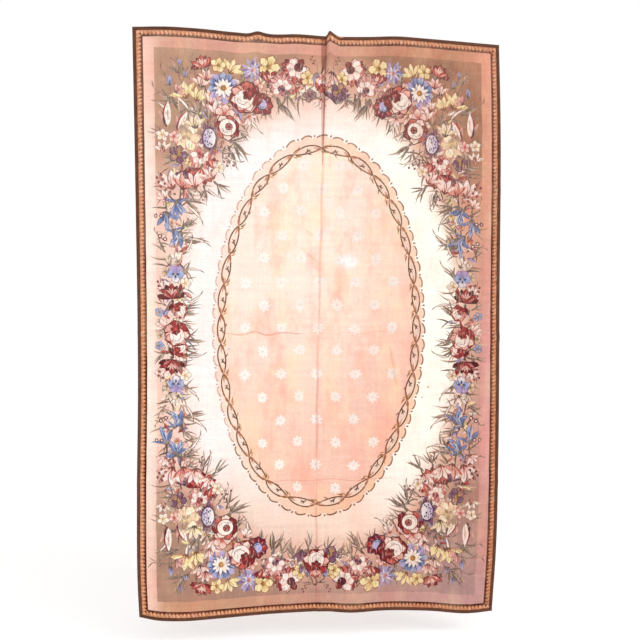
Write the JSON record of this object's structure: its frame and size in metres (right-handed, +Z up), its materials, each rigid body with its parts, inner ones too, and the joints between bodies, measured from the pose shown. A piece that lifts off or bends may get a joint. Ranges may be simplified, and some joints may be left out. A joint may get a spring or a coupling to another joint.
{
  "type": "wall tapestry",
  "caption": "Flat-woven floral wall tapestry with a flower wreath round an oval field, rope-pattern border and bound edges, hanging by its top edge.",
  "frame": {"origin": "middle of the top edge of the hanging cloth", "axes": "+Z up along the drop, -Y out of the woven front, +X to the right as seen from the front"},
  "size_m": [1.5553, 0.0295, 2.4809],
  "materials": {
    "woven_wool": "matt hand-woven wool flatweave, cream, peach and dusty pink with flowers in reds, blues and yellows",
    "edge_tape": "matt dark-brown woven wool tape"
  },
  "bodies": {
    "root": {"woven_panel": "woven_wool", "edge_binding_top": "edge_tape", "edge_binding_bottom": "edge_tape", "edge_binding_left": "edge_tape", "edge_binding_right": "edge_tape"}
  },
  "joints": []
}
